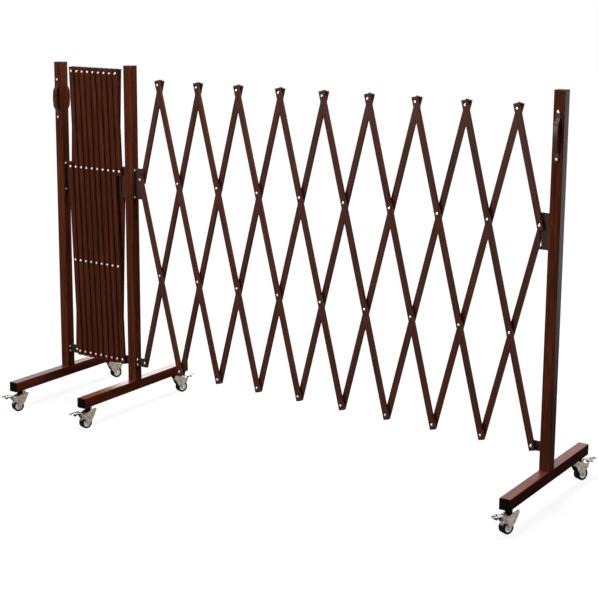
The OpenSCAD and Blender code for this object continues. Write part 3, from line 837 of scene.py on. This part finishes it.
# %% [markdown]
# ## Brackets
# A bracket is bent sheet: a flange screwed to the post and a wing that stands
# out between the two layers of slats. It is drawn as an L from above and given
# its height. The bend is bevelled wide, and the wing's outer corners too. The
# upper wing has a long slot, in which the top rivet slides as the panel folds.
# The slot's ends follow from the lean of the slats at their widest and folded.


# %% Brackets
FLANGE, WING_END = 12.5, RIVET_IN + 10
BEND_R, WING_R, SLOT_R, SLOT_PLAY = 2.6, 4, 3, 0.5
WIDEST_LEAN = math.radians(28)
slot_low, slot_high = (round(LOW_RIVET + 2 * RIVET_STEP * math.cos(lean), 2)
                       for lean in (WIDEST_LEAN, LEAN["left"]))


def bracket(name, low, high):
    """A bracket on the +X side of a post, from one height to another."""
    face = TUBE_W / 2 + SEAT
    corners = [(face, -FLANGE), (face + SHEET, -FLANGE), (face + SHEET, -SHEET / 2), (WING_END, -SHEET / 2),
               (WING_END, SHEET / 2), (face, SHEET / 2)]
    obj = plate(name, [(x, y, low) for x, y in corners], (0, 0, high - low))
    only(obj)
    bpy.ops.object.mode_set(mode="EDIT")
    pick(obj, "EDGE", lambda edge: runs_along(edge, 2) and near(middle_of(edge).x, face)
         and near(middle_of(edge).y, SHEET / 2))
    bpy.ops.mesh.bevel(offset=BEND_R * MM, segments=4, affect="EDGES")
    pick(obj, "EDGE", lambda edge: runs_along(edge, 1) and near(middle_of(edge).x, WING_END))
    bpy.ops.mesh.bevel(offset=WING_R * MM, segments=5, affect="EDGES")
    bpy.ops.object.mode_set(mode="OBJECT")
    return obj


def rounded_slot(low, high, radius):
    """A cutter for a slot: a round bar whose upper half is drawn up."""
    bpy.ops.object.select_all(action="DESELECT")
    bpy.ops.mesh.primitive_cylinder_add(
        vertices=32, radius=radius * MM, depth=20 * MM,
        location=Vector((RIVET_IN, 0, low)) * MM, rotation=(math.radians(90), 0, 0))
    obj = bpy.context.object
    bpy.ops.object.transform_apply(location=True, rotation=True, scale=False)
    bpy.ops.object.mode_set(mode="EDIT")
    pick(obj, "VERT", lambda vert: vert.co.z / MM > low + 0.01)
    bpy.ops.transform.translate(value=(0, 0, (high - low) * MM))
    bpy.ops.object.mode_set(mode="OBJECT")
    return obj


BELOW_SLOT, ABOVE_SLOT, LOW_HALF = 13, 17, 16
high_bracket = bracket("high bracket", slot_low - BELOW_SLOT, slot_high + ABOVE_SLOT)
cut_away(high_bracket, rounded_slot(slot_low - SLOT_PLAY, slot_high + SLOT_PLAY, SLOT_R))
low_bracket = bracket("low bracket", LOW_RIVET - LOW_HALF, LOW_RIVET + LOW_HALF)
bracket_pair = joined("bracket pair", [high_bracket, low_bracket])
round_edges(bracket_pair, 0.35, 2, angle=40)
smooth(bracket_pair)

screw_heights = (slot_low - 5, slot_high + 9, LOW_RIVET - 8.5, LOW_RIVET + 8.5)
SCREW_X, SCREW_Y = TUBE_W / 2 + 2 * SEAT + SHEET, -(FLANGE + SHEET / 2) / 2
for place, x in POST_X.items():
    sides = {"left": (1,), "middle": (-1, 1), "right": (-1,)}[place]
    sheets, screws, rivets, rings = [], [], [], []
    for way in sides:
        stand = at(x, 0, 0) @ turn(0 if way > 0 else 180, "Z")
        sheets.append(copied(bracket_pair, "sheet", stand))
        rivets.append(copied(bracket_rivet, "rivet", stand @ at(RIVET_IN, 0, LOW_RIVET)))
        rings.append(copied(bracket_spacer, "ring", stand @ at(RIVET_IN, 0, LOW_RIVET)))
        for i, z in enumerate(screw_heights):
            spot = at(SCREW_X, SCREW_Y, z) @ turn(90, "Y") @ turn(37 * i, "Z")
            screws.append(copied(screw_master, "screw", stand @ spot))
    body = body_of_post(place)
    hang(joined(place + "_post_brackets", sheets), body, BRACKET_PAINT, "brown_tube")
    hang(joined(place + "_post_screws", screws), body, RIVET_METAL, "plated_steel")
    hang(joined(place + "_post_rivets", rivets), body, RIVET_METAL, "plated_steel")
    hang(joined(place + "_post_spacers", rings), body, CAP_PLASTIC, "brown_slat")
print("Bracket pair:", len(bracket_pair.data.polygons), "faces")

# %% [markdown]
# ## Pull handles
# A handle is a moulded bow with a flat pad at each end. Its side view is drawn
# once, given its width, and all its edges are rounded. The bends where the
# grip leaves the ramps are rounded much wider than the rims.

# %% Handles
HANDLE_Z, HANDLE_SPAN, HANDLE_W = 1130, 137, 14
STANDS_OUT, GRIP_T, GRIP_BOW, PAD_T = 21, 6, 3, 4
PAD_END, RAMP_OUT, RAMP_IN, GRIP_OUT, GRIP_IN = 77.5, 50.5, 42.5, 31.5, 29.5  # from the handle's middle
bow = [i / 10 for i in range(-10, 11)]
outer = [(-PAD_END, 0), (-PAD_END, PAD_T), (-RAMP_OUT, PAD_T)]
outer += [(GRIP_OUT * s, STANDS_OUT - GRIP_BOW * s * s) for s in bow]
outer += [(RAMP_OUT, PAD_T), (PAD_END, PAD_T), (PAD_END, 0)]
under = [(-GRIP_IN * s, STANDS_OUT - GRIP_T - GRIP_BOW * s * s) for s in bow]
under = [(RAMP_IN, 0)] + under + [(-RAMP_IN, 0)]
side_line = [(-HANDLE_W / 2, -out, z) for z, out in outer + under]
handle_master = plate("handle master", side_line, (HANDLE_W, 0, 0))
only(handle_master)
bpy.ops.object.mode_set(mode="EDIT")
for axis, reach, width, rounds in ((0, GRIP_OUT, 7, 5), (0, GRIP_IN, 5, 4), (1, PAD_END, 6, 5)):
    pick(handle_master, "EDGE", lambda edge: runs_along(edge, axis) and near(abs(middle_of(edge).z), reach))
    bpy.ops.mesh.bevel(offset=width * MM, segments=rounds, affect="EDGES")
bpy.ops.object.mode_set(mode="OBJECT")
round_edges(handle_master, 1.1, 3, angle=35)
smooth(handle_master)
for place in ("left", "right"):
    grips, screws = [], []
    for half_turn in (0, 180):
        stand = at(POST_X[place], 0, HANDLE_Z) @ turn(half_turn, "Z")
        grips.append(copied(handle_master, "grip", stand @ at(0, -TUBE_W / 2, 0)))
        for i, way in enumerate((-1, 1)):
            spot = at(0, -TUBE_W / 2 - PAD_T - SEAT, way * HANDLE_SPAN / 2)
            spot = spot @ turn(90, "X") @ turn(25 + 50 * i, "Z")
            screws.append(copied(screw_master, "screw", stand @ spot))
    body = body_of_post(place)
    hang(joined(place + "_handles_grips", grips), body, GRIP_PLASTIC, "brown_handle", place + "_handles")
    hang(joined(place + "_handles_screws", screws), body, RIVET_METAL, "plated_steel")
print("Handle:", len(handle_master.data.polygons), "faces")

# %% [markdown]
# ## Casters
# A stamped fork turns on a stem in the foot and straddles the wheel. All its
# pieces are modelled with the stem at the origin and the brake pedal along +X,
# and then turned into place at each end of each foot.
#
# The fork is three plates: two sides with the same outline, and the crown that
# joins them round the stem. Each side stands above the crown as a fin at the
# back, falls to a nose at the front, and runs down to the axle in a narrow
# tongue. Its middle is pressed in a little, which an inset and a small move of
# the outer faces give.

# %% The fork
WHEEL_R, TRAIL = 20, 10
CROWN_Z, CROWN_T = 50.5, 3
FORK_IN, FORK_OUT = 13.6, 15.6
FORK_BACK, FORK_FRONT, NOSE = 27, 29, 7
FIN_R, FIN_UP, LOBE_R = 7, 20, 6.2
PRESSED_RIM, PRESSED_IN = 2.2, 0.6
side_view = bowed((FIN_R - FORK_BACK, CROWN_Z + FIN_UP - FIN_R), FIN_R, 190, 70, 8)
side_view += [(FORK_FRONT - 1, CROWN_Z + CROWN_T), (FORK_FRONT, CROWN_Z - 1)]
side_view += [(FORK_FRONT - 1, CROWN_Z - NOSE), (TRAIL + 4, WHEEL_R + 12)]
side_view += bowed((TRAIL, WHEEL_R), LOBE_R, 0, -170, 12) + [(TRAIL - 21, WHEEL_R + 11)]
sides = []
for low_y in (-FORK_OUT, FORK_IN):
    side = plate("fork side", [(x, low_y, z) for x, z in side_view], (0, FORK_OUT - FORK_IN, 0))
    only(side)
    bpy.ops.object.mode_set(mode="EDIT")
    pick(side, "FACE", lambda face: near(abs(middle_of(face).y), FORK_OUT))
    bpy.ops.mesh.inset(thickness=PRESSED_RIM * MM)
    bpy.ops.transform.translate(value=(0, math.copysign(PRESSED_IN * MM, -low_y), 0))
    bpy.ops.object.mode_set(mode="OBJECT")
    sides.append(side)
fork_master = block("fork master", (-20, 1 - FORK_OUT, CROWN_Z), (24, FORK_OUT - 1, CROWN_Z + CROWN_T))
HOLE_R = 5.2
cut_away(fork_master, turned("stem hole", [(0, 45), (HOLE_R, 45), (HOLE_R, 60), (0, 60)], steps=24))
for side in sides:
    cut_away(fork_master, side, "UNION")
round_edges(fork_master, 0.35, 2, angle=35)
race_line = [(HOLE_R, 53), (11.2, 53), (12, 53.8), (12, 54.4), (11.2, 55.2), (9, 55.5), (HOLE_R, 55.5),
             (HOLE_R, 53)]
race = turned("race", race_line, steps=40)
fork_master = joined("fork master", [smooth(fork_master), smooth(race, 30)])
print("Fork:", len(fork_master.data.polygons), "faces")


# %% [markdown]
# The axle and the small pin of the brake are flat-headed rivets. The wheel is a
# tyre and a dished hub. The tyre's running face has a shallow groove at each
# shoulder, where a moulded tyre shows the edge of its mould.


# %% Axle and wheel
def headed_pin(name, radius, half, head_r, head_h):
    """A pin along Y, with the same flat dimpled head at both ends."""
    bevel = 0.3 * head_h
    dimple = [(0, half + 0.6 * head_h), (0.3 * head_r, half + 0.7 * head_h), (0.45 * head_r, half + head_h)]
    rim = [(head_r - bevel, half + head_h), (head_r, half + head_h - bevel), (head_r, half), (radius, half)]
    head = dimple + rim
    obj = turned(name, head + [(r, -h) for r, h in reversed(head)], steps=28)
    obj.data.transform(turn(-90, "X"))
    return smooth(obj, 45)


AXLE_R = 3
axle = headed_pin("axle", AXLE_R, FORK_OUT + SEAT, 4.6, 2.4)
axle.data.transform(at(TRAIL, 0, WHEEL_R))
pivot = headed_pin("pivot", 2, FORK_OUT + SEAT, 3.2, 1)
pivot.data.transform(at(TRAIL + 11, 0, CROWN_Z - 6))
pin_master = joined("pin master", [axle, pivot])

HUB_R, TYRE_HALF = 13.5, 12
shoulder = bowed((WHEEL_R - 2, TYRE_HALF - 2), 2, 90, 0, 5)
half_tyre = [(HUB_R + SEAT, TYRE_HALF - 1), (HUB_R + 1, TYRE_HALF)] + shoulder
half_tyre += [(WHEEL_R, 7.6), (WHEEL_R - 0.5, 7.2), (WHEEL_R - 0.5, 6.8), (WHEEL_R, 6.4)]
tyre_line = half_tyre + [(r, -y) for r, y in reversed(half_tyre)] + half_tyre[:1]
tyre_master = turned("tyre master", tyre_line, steps=64)
half_hub = [(AXLE_R + SEAT, 13.5), (5.6, 13.5), (6, 13.1), (6.2, 9.6), (7.4, 9.2), (10, 9.2),
            (10.8, 9.7), (11.2, 10.6), (11.8, 11), (13.1, 11), (HUB_R, 10.7)]
hub_line = half_hub + [(r, -y) for r, y in reversed(half_hub)] + half_hub[:1]
hub_master = turned("hub master", hub_line, steps=64)
for wheel_piece in (tyre_master, hub_master):
    wheel_piece.data.transform(at(TRAIL, 0, WHEEL_R) @ turn(-90, "X"))
    smooth(wheel_piece, 35)
print("Tyre:", len(tyre_master.data.polygons), "faces, hub:", len(hub_master.data.polygons))

# %% [markdown]
# The brake lever is a tread plate outside the fork, two cheeks on the pin and a
# brake shoe over the tyre. The tread is drawn from above. Its three grooves keep a
# sole from slipping. The cheeks and the brake shoe are plates drawn from the side.

# %% The brake
PEDAL_Z, PEDAL_T, PEDAL_ROOT = 59.5, 2.5, 30
PEDAL_HALF, NECK_X = 14, PEDAL_ROOT + 14
tip = bowed((69, 0), 7, -60, 60, 8)
tread_view = [(PEDAL_ROOT, PEDAL_HALF), (PEDAL_ROOT, -PEDAL_HALF), (NECK_X, -PEDAL_HALF)]
tread_view += tip + [(NECK_X, PEDAL_HALF)]
tread = plate("tread", [(x, y, PEDAL_Z) for x, y in tread_view], (0, 0, PEDAL_T))
only(tread)
bpy.ops.object.mode_set(mode="EDIT")
pick(tread, "EDGE", lambda edge: runs_along(edge, 2) and near(middle_of(edge).x, NECK_X))
bpy.ops.mesh.bevel(offset=9 * MM, segments=6, affect="EDGES")
bpy.ops.object.mode_set(mode="OBJECT")
round_edges(tread, 0.8, 3, angle=50)
for x in (50, 55.5, 61):
    groove = block("groove", (x - 0.8, -6, PEDAL_Z + PEDAL_T - 0.5), (x + 0.8, 6, PEDAL_Z + PEDAL_T + 1))
    round_edges(groove, 0.5, 2)
    cut_away(tread, groove)

SHOE_GAP, SHOE_T, CHEEK_T = 1.2, 2, 2
shoe_mid = WHEEL_R + SHOE_GAP + SHOE_T / 2
cheek_view = [(PEDAL_ROOT + 5, PEDAL_Z + PEDAL_T / 2), (PEDAL_ROOT, PEDAL_Z + PEDAL_T / 2),
              (25, CROWN_Z - 0.1), (16, CROWN_Z - 0.1), (16, 42.5)]
cheek_view += bowed((TRAIL, WHEEL_R), shoe_mid, 70, 47, 2) + [(29, 39.5)]
lever_parts = [tread]
for way in (-1, 1):
    cheek = plate("cheek", [(x, way * 13.5, z) for x, z in cheek_view], (0, -way * CHEEK_T, 0))
    round_edges(cheek, 0.3, 2, angle=35)
    lever_parts.append(cheek)
for half_width, start, end in ((13.5, 47, 70), (8, 27, 49)):
    strip = bowed((TRAIL, WHEEL_R), WHEEL_R + SHOE_GAP + SHOE_T, start, end, 8)
    strip += bowed((TRAIL, WHEEL_R), WHEEL_R + SHOE_GAP, end, start, 8)
    shoe = plate("shoe", [(x, -half_width, z) for x, z in strip], (0, 2 * half_width, 0))
    round_edges(shoe, 0.3, 2, angle=35)
    lever_parts.append(shoe)
lever_master = joined("lever master", [smooth(part) for part in lever_parts])
print("Brake lever:", len(lever_master.data.polygons), "faces")

# %% [markdown]
# A black stop hangs under the pedal and keeps it from tipping too far. Above the
# fork sits a black collar, and inside it the stem, whose head holds the fork up.

# %% Stop, collar and stem
STOP_R, STOP_T, STOP_W = 11, 3, 14
STOP_X, STOP_Z = PEDAL_ROOT + 16, PEDAL_Z - STOP_R - 1.5
arch = bowed((STOP_X, STOP_Z), STOP_R, 25, 150, 12)
arch += bowed((STOP_X, STOP_Z), STOP_R - STOP_T, 150, 25, 12)
stop_arch = plate("stop arch", [(x, -STOP_W / 2, z) for x, z in arch], (0, STOP_W, 0))
round_edges(stop_arch, 0.6, 3, angle=35)
neck_low = STOP_Z + STOP_R - STOP_T / 2
stop_neck = block("stop neck", (STOP_X - 2, -4, neck_low), (STOP_X + 2, 4, PEDAL_Z - SEAT))
round_edges(stop_neck, 0.4, 2)
stop_master = joined("stop master", [smooth(stop_arch), smooth(stop_neck)])

COLLAR_TOP = FOOT_Z - SEAT
collar_line = [(5.1, 55.6), (9.2, 55.6), (10, 56.4), (10, 66), (9.5, 66.5), (9.5, 67.1), (10, 67.6),
               (10, 77.3), (9.4, COLLAR_TOP), (5.1, COLLAR_TOP), (5.1, 55.6)]
collar_master = smooth(turned("collar master", collar_line, steps=40), 35)
stem_line = [(0, 46.4), (7.2, 46.4), (8, 47.2), (8, 50.4), (5, 50.4), (5, 102.7), (4.2, 103.5), (0, 103.5)]
stem_master = smooth(turned("stem master", stem_line, steps=28), 35)
print("Stop:", len(stop_master.data.polygons), "faces, collar:", len(collar_master.data.polygons))

# %% [markdown]
# Now the six casters. The collar and the stem stay with the foot, the fork and
# its brake turn on the stem, and the tyre and the hub spin in the fork. Each
# caster has swivelled about 20 degrees, by an angle of its own. The masters have
# done their work then, and are removed.

# %% Place the casters
STEM_IN = 34
STEM_Y = FOOT_LEN / 2 - STEM_IN
TURNS = {("left", "front"): 24, ("left", "back"): 22, ("middle", "front"): 16, ("middle", "back"): 20,
         ("right", "front"): 22, ("right", "back"): 24}
for (place, end), away in TURNS.items():
    way = -1 if end == "front" else 1
    stand = at(POST_X[place], way * STEM_Y, 0) @ turn(way * 90 - away, "Z")
    name = place + "_" + end
    frame_body = body_of_post(place)
    fork_body, wheel_body = name + "_caster", name + "_wheel"
    hang(copied(collar_master, name + "_collar", stand), frame_body, BLACK_PLASTIC, "plated_steel")
    hang(copied(stem_master, name + "_stem", stand), frame_body, NICKEL, "plated_steel")
    hang(copied(fork_master, name + "_fork", stand), fork_body, NICKEL, "plated_steel", name + "_caster_fork")
    hang(copied(pin_master, name + "_pins", stand), fork_body, NICKEL, "plated_steel")
    hang(copied(lever_master, name + "_brake", stand), fork_body, PEDAL_ZINC, "plated_steel")
    hang(copied(stop_master, name + "_stop", stand), fork_body, BLACK_PLASTIC, "plated_steel")
    hang(copied(tyre_master, name + "_tyre", stand), wheel_body, TYRE_RUBBER, "wheel", name + "_wheel")
    hang(copied(hub_master, name + "_hub", stand), wheel_body, HUB_ZINC, "wheel")

masters = [o for o in bpy.data.objects if o.type == "MESH" and "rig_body" not in o]
for master in masters:
    bpy.data.objects.remove(master)
pieces = [o for o in bpy.data.objects if o.type == "MESH" and "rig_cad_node" not in o]
triangles = sum(len(face.vertices) - 2 for piece in pieces for face in piece.data.polygons)
print("Pieces:", len(pieces), "with", triangles, "triangles")

# %% [markdown]
# ## Floor, light and camera
# The photograph is a cut-out on white. The floor is dark by itself and holds a
# soft shadow. It adds light of its own only to rays from the camera or through
# glass and to mirrored ones, so that it shows as white and lights nothing. That
# light grows with the distance from the gate, so that the shadow stays, and
# bright metal mirrors a darker floor close by. The world does the same: white to
# the camera, and in reflections white behind the gate and dark before it, which
# is why faces that look sideways shine and faces that look forward don't.


# %% Floor and world
def ray_masks(tree):
    """1 for rays from the camera or through glass, and 1 for mirrored ones."""
    path = add_node(tree, "ShaderNodeLightPath")
    direct = math_of(tree, "MAXIMUM", path.outputs["Is Camera Ray"], path.outputs["Is Transmission Ray"])
    return direct, path.outputs["Is Glossy Ray"]


FLOOR_GREY, FLOOR_DROP = 0.06, 0.5
# Metres from the gate's middle at which the floor's light starts to grow and is
# whole, and how strong it is before, to the camera and in mirrored rays
SEEN = {"low": 1.5, "high": 5.0, "to_low": 0.905}
MIRRORED = {"low": 1.0, "high": 4.0, "to_low": 0.36}
bpy.ops.object.select_all(action="DESELECT")
bpy.ops.mesh.primitive_plane_add(size=24, location=(0, 0, -FLOOR_DROP * MM))
floor = bpy.context.object
floor.name = "floor"
bpy.ops.object.transform_apply(location=True)
floor_paint = bpy.data.materials.new("floor paint")
floor_paint.use_nodes = True
tree = floor_paint.node_tree
shader = tree.nodes["Principled BSDF"]
shader.inputs["Base Color"].default_value = (FLOOR_GREY, FLOOR_GREY, FLOOR_GREY, 1)
shader.inputs["Roughness"].default_value = 0.9
shader.inputs["Specular IOR Level"].default_value = 0.0
shader.inputs["Emission Color"].default_value = (1, 1, 1, 1)
from_gate = add_node(tree, "ShaderNodeVectorMath", operation="LENGTH")
tree.links.new(add_node(tree, "ShaderNodeTexCoord").outputs["Object"], from_gate.inputs[0])
distance = from_gate.outputs["Value"]
direct, glossy = ray_masks(tree)
shown = math_of(tree, "MULTIPLY", direct, between(tree, distance, **SEEN))
mirrored = math_of(tree, "MULTIPLY", glossy, between(tree, distance, **MIRRORED))
tree.links.new(math_of(tree, "MAXIMUM", shown, mirrored), shader.inputs["Emission Strength"])
floor.data.materials.append(floor_paint)

world = bpy.data.worlds.new("studio")
bpy.context.scene.world = world
world.use_nodes = True
tree = world.node_tree
background = tree.nodes["Background"]
background.inputs["Color"].default_value = (1, 1, 1, 1)
AMBIENT, ROOM = 0.12, 0.10  # the light on the gate, and the dark side of what it mirrors
behind = between(tree, axis_of(tree, "Generated", "Y"), -0.3, 0.2, ROOM, 1.0)
direct, glossy = ray_masks(tree)
mirrored = math_of(tree, "MULTIPLY", glossy, math_of(tree, "SUBTRACT", behind, AMBIENT))
strength = math_of(tree, "MAXIMUM", math_of(tree, "ADD", mirrored, AMBIENT), direct)
tree.links.new(strength, background.inputs["Strength"])


# %% [markdown]
# Four soft lamps give a plain studio light, at which a colour looks about as it
# is written. The one overhead draws the soft shadow, the large one in front
# lights what the camera sees, the one behind catches the tops and edges, and the
# one at the side is only a touch.


# %% Lamps
def softbox(name, place, aim, size, watts):
    """A square area lamp that looks at a point."""
    bpy.ops.object.light_add(type="AREA", location=place)
    lamp = bpy.context.object
    lamp.name = name
    lamp.data.size, lamp.data.energy = size, watts
    lamp.rotation_euler = (Vector(aim) - Vector(place)).to_track_quat("-Z", "Y").to_euler()


softbox("overhead", (0.0, 0.2, 4.2), (0.1, 0, 0.4), 1.5, 400)
softbox("front", (-1.2, -4.4, 2.5), (0.3, 0, 0.7), 3.2, 205)
softbox("side", (4.5, 0.5, 2.4), (0.3, 0, 0.6), 2.0, 3)
softbox("back", (-3.2, 4.4, 2.4), (0, 0, 0.7), 2.6, 80)
print("Lamps:", len(bpy.data.lights))

# %% [markdown]
# The camera stands in front and to the right, at standing height. Its place,
# turn and lens were solved from the gate's own corners and rivets, which land
# about two pixels from where the photograph shows them, and nine at the top of
# the right post. A downward shift keeps the posts almost upright. More of it
# would match that post too, but cuts the tops off when the folded gate is seen
# from other sides.

# %% Camera
FRAME_PX = 598  # the picture's width and height
FOCAL_PX = 1368.9  # the focal length in pixels of that picture
AXIS_ROW = 230  # the row of the picture that the lens points at
SENSOR = 36
CAMERA_AT = (2556.6, -3692.1, 1584.5)
AROUND, DOWN, ROLL = 33.917, 10.611, 0.367
camera_data = bpy.data.cameras.new("camera")
camera_data.sensor_width = SENSOR
camera_data.lens = FOCAL_PX / FRAME_PX * SENSOR
camera_data.shift_y = -(FRAME_PX / 2 - AXIS_ROW) / FRAME_PX
camera = bpy.data.objects.new("camera", camera_data)
bpy.context.scene.collection.objects.link(camera)
camera.location = Vector(CAMERA_AT) * MM
camera.rotation_euler = (turn(AROUND, "Z") @ turn(90 - DOWN, "X") @ turn(ROLL, "Z")).to_euler()
bpy.context.scene.camera = camera
bpy.context.scene.view_settings.view_transform = "Standard"
print("Camera lens:", round(camera_data.lens, 1), "mm")
